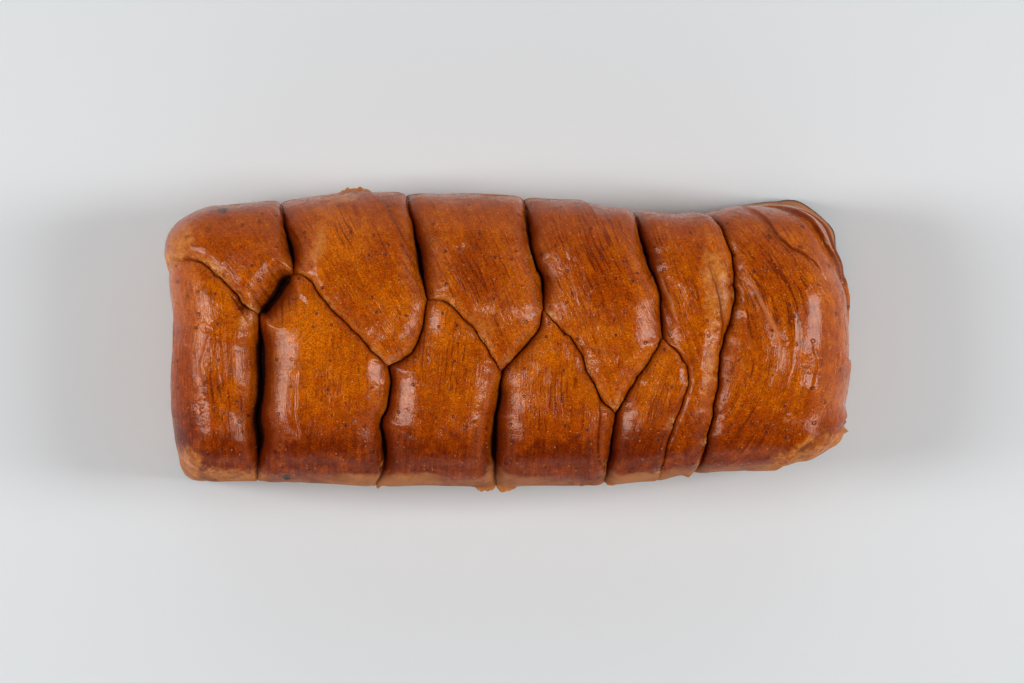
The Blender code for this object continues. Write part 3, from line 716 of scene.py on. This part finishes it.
def lump_heights(sheet, table):
    """Height of round lumps and pits."""
    height = np.zeros(len(sheet))
    for x, y, radius, rise in table:
        distance = lengths(sheet - to_sheet([(x, y)])[0])
        height += rise * MM * np.exp(-((distance / (radius * MM)) ** 2))
    return height


def unevenness(sheet, label):
    """Lumps, dents and wrinkles that follow the strands, in metres."""
    u, v = sheet.T / MM
    height = 1.0 * noise(u / 26, v / 26, 3) + 0.2 * noise(u / 11, v / 11, 4)
    for k in range(len(CROSSINGS)):
        own = label == k
        across, along = (part / MM for part in strand_places(k, sheet[own]))
        across = across + 1.2 * noise(across / 9, along / 14, 40 + k)
        patchy = eased(noise(across / 14, along / 18, 60 + k), 0, 0.7)
        height[own] += 0.12 * noise(across / 4.5, along / 26, 80 + k) * (0.3 + patchy)
        height[own] += 0.06 * noise(across / 1.9, along / 11, 100 + k) * patchy
    return height * MM


def patches(places, table, seed):
    """A mask of soft-edged oval patches seen from above, each given by its middle, half length, half width,
    direction in degrees and strength."""
    x, y = places[:, 0] / MM, places[:, 1] / MM
    uneven = 0.35 * noise(x / 5, y / 5, seed) + 0.25 * noise(x / 1.8, y / 1.8, seed + 1)
    mask = np.zeros(len(places))
    for middle_x, middle_y, length, width, degrees, strength in table:
        turn = math.radians(degrees)
        along = (x - middle_x) * math.cos(turn) + (y - middle_y) * math.sin(turn)
        across = (y - middle_y) * math.cos(turn) - (x - middle_x) * math.sin(turn)
        out = np.hypot(along / length, across / width) + uneven
        mask = np.maximum(mask, strength * (1 - eased(out, 0.6, 1.1)))
    return mask


def corner_masks(middle, direction, turn):
    """Masks of the glazed far right corner and of the bare near right one."""
    to_far, to_near = (lengths(middle - (FLAT_X, y)) for y in (FLAT_Y, -FLAT_Y))
    glazed = np.exp(-((to_far / FOOT_REACH) ** 2)) * (direction.min(1) > -0.1)
    bare = np.exp(-((to_near / BARE_REACH) ** 2)) * eased(turn, 0.5, 0.85)
    return glazed, bare * eased(-direction[:, 1], 0.1, 0.5)


def crust_shape(sheet, label, lines, folds):
    """Places of all points of the crust, and the masks that its material uses."""
    middle, direction, turn, wall, base = sheet_parts(sheet)
    on_wall = eased(turn, 0, 1)
    glazed, bare = corner_masks(middle, direction, turn)
    closeness, lean, lip, shade, torn, closed = seam_shapes(sheet, lines, label, on_wall, wall)
    fold, edge, ridge = fold_heights(sheet, folds)
    rise = CROWN_RISE * (1 - on_wall) + WALL_RISE * on_wall
    height = rise * (1 - closeness) * (1 - 0.35 * base)
    calm = np.clip(1 - closeness, 0, 1)
    relief = fold * (1 - wall) * np.clip(2.5 * calm, 0, 1)
    relief += unevenness(sheet, label) * (1 - 0.5 * on_wall) * calm
    height += relief * (1 - base)
    u, v = sheet.T / MM
    crumbs = noise(u / 1.7, v / 1.7, 300) + 0.6 * noise(u / 0.9, v / 0.9, 301)
    lump = lump_heights(sheet, LUMPS)
    height += lump_heights(sheet, DOMES) * calm
    height += (TORN_HEIGHT * torn * crumbs + lump * (1 + 0.6 * crumbs)) * (1 - base)
    places, out = wrapped(sheet + lean)
    places += out * height[:, None]
    places[base >= 1, 2] = 0
    dull_from = DULL_FROM + (DULL_FROM_NEAR - DULL_FROM) * np.clip(-direction[:, 1], 0, 1)
    dull = (turn + wall) / dull_from * (1 - 0.7 * glazed * (1 - eased(wall, 0.1, 0.6))) + 0.3 * bare
    masks = {
        "crease": closeness, "lip": lip, "shade": shade, "fold": edge, "wall": turn * 0.5 + wall * 0.5,
        "far": eased(places[:, 1], 22 * MM, 56 * MM), "near": eased(-places[:, 1], 20 * MM, 50 * MM),
        "dull": dull, "torn": torn, "ridge": ridge, "lump": lump / MM, "bare": bare, "closed": closed,
    }
    on_top = 1 - eased(wall, *FADE_DOWN)
    for k, (name, table) in enumerate(PATCHES.items()):
        masks[name] = patches(places, table, 200 + 10 * k) * on_top
    # The burnt rim of the far right corner.
    masks["scorched"] += 0.8 * glazed * eased(wall, 0.72, 0.95)
    return places, masks


def make_base(places, rim):
    """Points and triangles of the flat base inside the crust's rim. The rim's points come first."""
    loop = places[rim, :2]
    xs, ys = np.meshgrid(*(np.arange(-half, half, BASE_STEP) for half in BASE_GRID))
    grid = np.stack([xs.ravel(), ys.ravel()], 1)
    count = len(loop)
    edges = [(k, (k + 1) % count) for k in range(count)]
    points = np.vstack([loop, spread(grid, loop, BASE_ROOM)])
    made = delaunay_2d_cdt(points.tolist(), edges, [list(range(count))], 1, 1e-7)
    found = np.array(made[0])
    used = sorted({k for face in made[2] for k in face})
    new_index = {k: i for i, k in enumerate(used)}
    on_rim = {new_index[k]: made[3][k][0] for k in used if made[3][k]}
    return found[used], [[new_index[k] for k in face] for face in made[2]], on_rim


def rim_loop(triangles):
    """The boundary of the triangles as one loop of point indices."""
    seen = dict.fromkeys(edge for a, b, c in triangles.tolist() for edge in ((a, b), (b, c), (c, a)))
    following = {a: b for a, b in seen if (b, a) not in seen}
    loop = [next(iter(following))]
    while len(loop) < len(following):
        loop.append(following[loop[-1]])
    return loop


def add_object(name, data):
    """A new object in the scene."""
    made = bpy.data.objects.new(name, data)
    bpy.context.scene.collection.objects.link(made)
    return made


def make_crust():
    """The whole crust as one closed mesh with its masks and strand coordinates."""
    lines = [seam_on_sheet(seam[2], SEAM_STEP, 20 + k, seam[-1]) for k, seam in enumerate(SEAMS)]
    folds = [smooth_path(to_sheet(fold[0]), SEAM_STEP) for fold in FOLDS]
    folds = [made_ragged(line, SEAM_STEP, 60 + k, FOLD_RAGGEDNESS) for k, line in enumerate(folds)]
    sheet, triangles, on_seam = lay_out(lines, folds)
    crossing = crossings_of(sheet, triangles, on_seam)
    sheet, triangles, crossing = split_in_four(sheet, triangles, crossing)
    label = np.zeros(len(sheet), int)
    label[triangles] = crossing[:, None]
    places, masks = crust_shape(sheet, label, lines, folds)
    shift = (places.min(0) + places.max(0)) / 2
    places[:, :2] -= shift[:2]
    rim = rim_loop(triangles)
    base, base_faces, on_rim = make_base(places, rim)
    new_index = {}
    extra = []
    for k, point in enumerate(base):
        if k in on_rim and on_rim[k] < len(rim):
            new_index[k] = rim[on_rim[k]]
        else:
            new_index[k] = len(places) + len(extra)
            extra.append((*point, 0))
    extra = np.array(extra)
    faces = triangles.tolist() + [[new_index[k] for k in face[::-1]] for face in base_faces]
    mesh = bpy.data.meshes.new("loaf_crust")
    mesh.from_pydata(np.vstack([places, extra]).tolist(), [], faces)
    mesh.validate()
    masks = {name: np.concatenate([values, np.zeros(len(extra))]) for name, values in masks.items()}
    masks["wall"][len(places):] = BASE_MASK
    for name, values in masks.items():
        mesh.attributes.new(name, "FLOAT", "POINT").data.foreach_set("value", values.astype(np.float32))
    uv = np.zeros((sum(map(len, faces)), 2))
    for k in range(len(CROSSINGS)):
        own = np.flatnonzero(crossing == k)
        corners = (own[:, None] * 3 + np.arange(3)).ravel()
        uv[corners] = np.stack(strand_places(k, sheet[triangles[own].ravel()]), 1)
    mesh.uv_layers.new(name="strand").data.foreach_set("uv", (uv * STRAND_SCALE).ravel().astype(np.float32))
    mesh.shade_smooth()
    return add_object("loaf_crust", mesh)


def tint(red, green, blue):
    """A colour given as 0 to 255 on a screen, as the shader wants it, by the sRGB curve."""
    channels = (red, green, blue)
    return [c / 255 / 12.92 if c < 10 else ((c / 255 + 0.055) / 1.055) ** 2.4 for c in channels] + [1]


class Nodes:
    """Adds nodes to one tree, each given by its kind, its inputs and its settings."""

    def __init__(self, tree):
        self.tree = tree
        tree.nodes.clear()

    def add(self, kind, inputs=None, **settings):
        made = self.tree.nodes.new("ShaderNode" + kind)
        for name, value in settings.items():
            setattr(made, name, value)
        for name, value in (inputs or {}).items():
            socket = made.inputs[name]
            if isinstance(value, bpy.types.NodeSocket):
                self.tree.links.new(value, socket)
            else:
                socket.default_value = value
        return made

    def math(self, operation, *values, clamp=False):
        return self.add("Math", dict(enumerate(values)), operation=operation, use_clamp=clamp).outputs[0]

    def times(self, first, second):
        return self.math("MULTIPLY", first, second)

    def plus(self, first, second):
        return self.math("ADD", first, second)

    def mask(self, name):
        return self.add("Attribute", attribute_name=name).outputs["Fac"]

    def mix(self, share, first, second):
        return self.add("Mix", {0: share, 6: first, 7: second}, data_type="RGBA").outputs[2]

    def over(self, colour, *layers):
        """The colour with others laid over it in turn, each given by its share and its tone."""
        for share, tone in layers:
            colour = self.mix(share, colour, tone)
        return colour

    def ramp(self, value, low, high, to_low=0.0, to_high=1.0):
        inputs = {"Value": value, "From Min": low, "From Max": high, "To Min": to_low, "To Max": to_high}
        return self.add("MapRange", inputs, interpolation_type="SMOOTHSTEP").outputs[0]

    def noise(self, vector, scale, detail=3.0, roughness=0.55):
        inputs = {"Vector": vector, "Scale": scale, "Detail": detail, "Roughness": roughness}
        return self.add("TexNoise", inputs).outputs["Fac"]

    def stretched(self, vector, across, along):
        return self.add("Mapping", {"Vector": vector, "Scale": (across, along, 1)}).outputs[0]


# Colours of the crust, on a screen.
GOLDEN = tint(184, 90, 3)
BROWN = tint(150, 60, 2)
DARK = tint(98, 28, 2)
PALE = tint(206, 128, 56)
LIP = tint(196, 108, 30)
# A painted sheen laid over the far side of the top.
FAR_SHEEN = tint(152, 78, 40)
WALL = tint(160, 98, 66)
WALL_DARK = tint(118, 64, 40)
WALL_PALE = tint(190, 122, 66)
# Painted shade in and beside the seams, beneath upper lips, along the steps of folds and in pits.
PAINTED_SHADE = tint(84, 20, 2)
# Near-black painted shade at the bottom of open seams, and the colour of the burnt spots.
SHADE_AND_SCORCH = tint(40, 11, 3)
BASE = tint(124, 68, 34)
GLOSS = tint(255, 232, 200)
CRUMB = tint(224, 158, 88)
GLINT = tint(220, 150, 84)
PALE_BROWN = tint(180, 102, 38)
BURNT = tint(84, 42, 20)
BLISTER = tint(74, 16, 4)
# A painted highlight along the tops of fold ridges.
RIDGE_HIGHLIGHT = tint(204, 122, 70)
FLOOR = tint(219, 222, 224)


def spots_on(n, vector, scale, fewer, radius):
    """Round spots scattered over the crust, and the same as rings. More of them are left out for a higher
    value of fewer; the radius is a share of their spacing."""
    inputs = {"Vector": vector, "Scale": scale, "Randomness": 1.0}
    cells = n.add("TexVoronoi", inputs, voronoi_dimensions="2D")
    distance = cells.outputs["Distance"]
    value = n.add("SeparateColor", {0: cells.outputs["Color"]}).outputs[0]
    chosen = n.ramp(value, fewer, fewer + 0.3)
    spot = n.times(n.ramp(distance, radius * 0.45, radius, 1, 0), chosen)
    return spot, n.times(spot, n.ramp(distance, 0, radius * 0.4, 0.25, 1))


def crust_material():
    """Egg-washed crust: glossy and mottled on top, dull and paler where it touched the tin."""
    material = bpy.data.materials.new("baked_crust")
    material.use_nodes = True
    n = Nodes(material.node_tree)
    place = n.add("TexCoord").outputs["Object"]
    strand = n.add("UVMap", uv_map="strand").outputs[0]
    crease, lip, shade, fold, wall = map(n.mask, ("crease", "lip", "shade", "fold", "wall"))
    far, near, pale, wrinkled, scorched = map(n.mask, ("far", "near", "pale", "wrinkled", "scorched"))
    torn, lump, ridge, browned, golden = map(n.mask, ("torn", "lump", "ridge", "browned", "golden"))

    cloud = n.noise(place, 45, 3)
    mottle = n.noise(place, 190, 4, 0.6)
    streak = n.noise(n.stretched(strand, 42, 5), 1, 4, 0.6)
    fine = n.noise(n.stretched(strand, 150, 14), 1, 3, 0.6)
    pores = n.noise(place, 420, 2, 0.6)
    grain = n.noise(place, 1000, 1, 0.7)

    # Brown towards both long edges, golden along the middle.
    bake = n.times(near, 1.3)
    for layer, share in (
        (far, 0.4), (browned, 0.8), (golden, -0.8), (cloud, 1.3), (mottle, 2.0), (streak, 1.8), (fine, 1.3),
        (pores, 1.0), (grain, 0.7),
    ):
        bake = n.plus(bake, n.times(layer, share))
    bake = n.plus(bake, n.times(n.ramp(wall, 0.25, 0.5), n.ramp(near, 0, 1, -0.5, 0)))
    colour = n.mix(n.ramp(bake, 3.35, 4.7), GOLDEN, BROWN)
    colour = n.mix(n.ramp(bake, 4.45, 6.0), colour, DARK)

    # Dark streaks along the strands, most of them where the photograph shows them.
    lines = n.noise(n.stretched(strand, 62, 6), 1, 5, 0.62)
    streaked = n.mask("streaked")
    where = n.math("MAXIMUM", n.ramp(n.noise(place, 38, 3), 0.42, 0.62, 0.1, 0.9), streaked)
    lines = n.plus(lines, n.times(streaked, 0.045))
    lined = n.times(n.ramp(lines, 0.54, 0.64, 0, 0.85), where)
    colour = n.mix(lined, colour, DARK)

    # Fine grain.
    sand = n.noise(place, 2400, 1, 0.6)
    bright = n.plus(n.ramp(sand, 0.2, 0.8, 0.45, 1.6), n.ramp(grain, 0.2, 0.8, -0.28, 0.3))
    colour = n.add("VectorMath", {0: colour, "Scale": bright}, operation="SCALE").outputs[0]

    # Small dark blisters with a paler middle, and still smaller glints.
    spot, ring = spots_on(n, strand, 13, 0.38, 0.11)
    dot, _ = spots_on(n, strand, 34, 0.66, 0.13)
    colour = n.over(colour, (n.times(ring, 0.85), BLISTER), (n.times(dot, 0.5), GLINT))

    # A painted sheen towards the far side, and dull and pale on the walls.
    colour = n.mix(n.times(far, 0.25), colour, FAR_SHEEN)
    uneven = n.times(n.math("SUBTRACT", n.noise(place, 95, 4, 0.6), 0.5), 1.1)
    wavy = n.times(n.math("SUBTRACT", n.noise(place, 28, 2, 0.5), 0.5), 0.8)
    touched = n.ramp(n.plus(n.mask("dull"), n.plus(uneven, wavy)), 0.88, 1.16)
    level = n.plus(wall, n.times(uneven, 0.3))
    dull = n.over(
        WALL,
        (n.ramp(n.noise(place, 110, 6, 0.7), 0.4, 0.62, 0, 0.85), WALL_DARK),
        (n.ramp(n.noise(place, 30, 3, 0.6), 0.4, 0.65, 0, 0.5), WALL_PALE),
        (n.ramp(level, 0.55, 0.85, 0, 0.6), WALL_PALE),
        (n.times(n.mask("bare"), 0.85), WALL_PALE),
        (n.ramp(level, 0.86, 1.02, 0, 0.75), BURNT),
    )

    # Over it pale crumb, the base, lips, painted shade along fold steps, a painted highlight on ridges, torn
    # edges, lumps, painted shade in pits, then painted shade in and beside the seams, less where they are
    # tight, and burnt spots.
    crumb = n.noise(place, 600, 3, 0.7)
    doughy = n.ramp(n.noise(place, 260, 4, 0.7), 0.38, 0.6, 0.25, 1)
    open_seam = n.ramp(n.mask("closed"), 0, 0.8, 1, 0.4)
    colour = n.over(
        colour,
        (touched, dull),
        (n.times(pale, doughy), n.mix(n.ramp(crumb, 0.4, 0.6), PALE_BROWN, PALE)),
        (n.ramp(wall, 1.0, 1.1), BASE),
        (n.times(lip, n.ramp(n.noise(place, 150, 2), 0.5, 0.62, 0, 0.7)), LIP),
        (n.ramp(fold, 0.3, 1.0, 0, 0.75), PAINTED_SHADE),
        (n.ramp(ridge, 0.2, 1.0, 0, 0.5), RIDGE_HIGHLIGHT),
        (n.times(torn, n.ramp(crumb, 0.42, 0.55, 0, 0.9)), CRUMB),
        (n.ramp(lump, 0.3, 1.2, 0, 0.55), n.mix(n.ramp(crumb, 0.35, 0.7), LIP, PALE)),
        (n.ramp(lump, -0.4, -2.2, 0, 0.7), PAINTED_SHADE),
        (n.ramp(crease, 0.15, 0.85, 0, 0.4), PAINTED_SHADE),
        (n.times(n.ramp(shade, 0.05, 0.8, 0, 0.85), open_seam), PAINTED_SHADE),
        (n.times(n.ramp(crease, 0.7, 1.0, 0, 0.9), open_seam), SHADE_AND_SCORCH),
        (scorched, SHADE_AND_SCORCH),
    )

    # Gloss: least on the walls, the far side, the matt patches and beneath the lips.
    rough = n.plus(n.times(touched, 0.4), n.ramp(mottle, 0.3, 0.7, 0.22, 0.3))
    rough = n.math("ADD", rough, n.ramp(crease, 0.5, 0.9, 0, 0.3), clamp=True)
    coat = n.ramp(touched, 0, 1, 0.31, 0)
    for layer, low, high, least in (
        (far, 0, 1, 0.3), (near, 0, 1, 0.4), (n.mask("matt"), 0, 1, 0.15), (shade, 0.1, 0.6, 0.15),
    ):
        coat = n.times(coat, n.ramp(layer, low, high, 1, least))

    # Relief too fine for the mesh, as height and distance in millimetres.
    waves = n.noise(n.stretched(strand, 105, 13), 1, 3, 0.6)
    wrinkles = n.ramp(n.math("ABSOLUTE", n.math("SUBTRACT", waves, 0.5)), 0, 0.16, 1, 0)
    strokes = n.noise(n.stretched(strand, 48, 4.5), 1, 2, 0.5)
    some = n.ramp(n.noise(place, 60, 2), 0.45, 0.6, 0.06, 0.4)
    share = n.math("MAXIMUM", n.times(wrinkled, 0.55), some)
    crumbly = n.times(n.math("MAXIMUM", torn, n.times(pale, 0.8)), crumb)
    open_crumb = n.times(touched, n.noise(place, 330, 4, 0.7))
    bump = None
    for height, distance in (
        (n.times(wrinkles, share), 0.1), (n.times(strokes, share), 0.9), (mottle, 0.1), (pores, 0.08),
        (grain, 0.06), (spot, 0.25), (dot, 0.2), (crumbly, 0.5), (open_crumb, 0.35),
    ):
        inputs = {"Height": height, "Strength": 1.0, "Distance": distance * MM}
        if bump:
            inputs["Normal"] = bump
        bump = n.add("Bump", inputs).outputs[0]

    inputs = {
        "Base Color": colour, "Roughness": rough, "Normal": bump, "Specular IOR Level": 0.1,
        "Specular Tint": GLOSS, "Coat Weight": coat, "Coat Roughness": 0.1, "Coat Normal": bump,
    }
    shader = n.add("BsdfPrincipled", inputs)
    n.add("OutputMaterial", {"Surface": shader.outputs[0]})
    return material


def make_floor():
    """A pale, plain table top."""
    mesh = bpy.data.meshes.new("floor")
    corners = [(x * FLOOR_REACH, y * FLOOR_REACH, FLOOR_Z) for x, y in ((-1, -1), (1, -1), (1, 1), (-1, 1))]
    mesh.from_pydata(corners, [], [(0, 1, 2, 3)])
    floor = add_object("floor", mesh)
    material = bpy.data.materials.new("floor")
    material.use_nodes = True
    shader = material.node_tree.nodes["Principled BSDF"]
    shader.inputs["Base Color"].default_value = FLOOR
    shader.inputs["Roughness"].default_value = 0.6
    mesh.materials.append(material)


def add_light(name, place, size, power):
    """A soft rectangular light that faces the loaf."""
    data = bpy.data.lights.new(name, "AREA")
    data.shape = "RECTANGLE"
    data.size, data.size_y = size
    data.energy = power
    light = add_object(name, data)
    way = Vector(LIGHT_TARGET) - Vector(place)
    light.matrix_world = Matrix.Translation(place) @ way.to_track_quat("-Z", "Y").to_matrix().to_4x4()


def add_camera():
    """Looks straight down, as the photograph does."""
    data = bpy.data.cameras.new("camera")
    data.sensor_width = SENSOR
    distance = CAMERA_HEIGHT - WIDEST_Z
    data.lens = SENSOR * distance * PIXELS_PER_METRE / IMAGE_WIDTH
    camera = add_object("camera", data)
    camera.location = (*VIEW_MIDDLE, CAMERA_HEIGHT)
    bpy.context.scene.camera = camera


def light_scene():
    """Soft boxes at the loaf's ends, dimmer ones before and behind it, and a room that is dark overhead."""
    for x, name in ((-1, "left_box"), (1, "right_box")):
        add_light(name, (x, 0, 1), (0.36, 0.8), 10.5)
    add_light("far_box", (0, 1.8, 1.4), (3, 1.2), 5)
    add_light("near_box", (0, -1.8, 0.45), (3, 0.6), 5)
    world = bpy.data.worlds.new("room")
    world.use_nodes = True
    n = Nodes(world.node_tree)
    way = n.add("SeparateXYZ", {0: n.add("TexCoord").outputs["Generated"]}).outputs[2]
    strength = n.ramp(way, 0, 0.8, ROOM_LEVEL, ROOM_OVERHEAD)
    background = n.add("Background", {"Color": (1, 1, 1, 1), "Strength": strength})
    n.add("OutputWorld", {"Surface": background.outputs[0]})
    bpy.context.scene.world = world
    bpy.context.scene.view_settings.view_transform = "Standard"


def main():
    crust = make_crust()
    crust.data.materials.append(crust_material())
    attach(crust, "root")
    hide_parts("brioche")
    make_floor()
    light_scene()
    add_camera()


main()
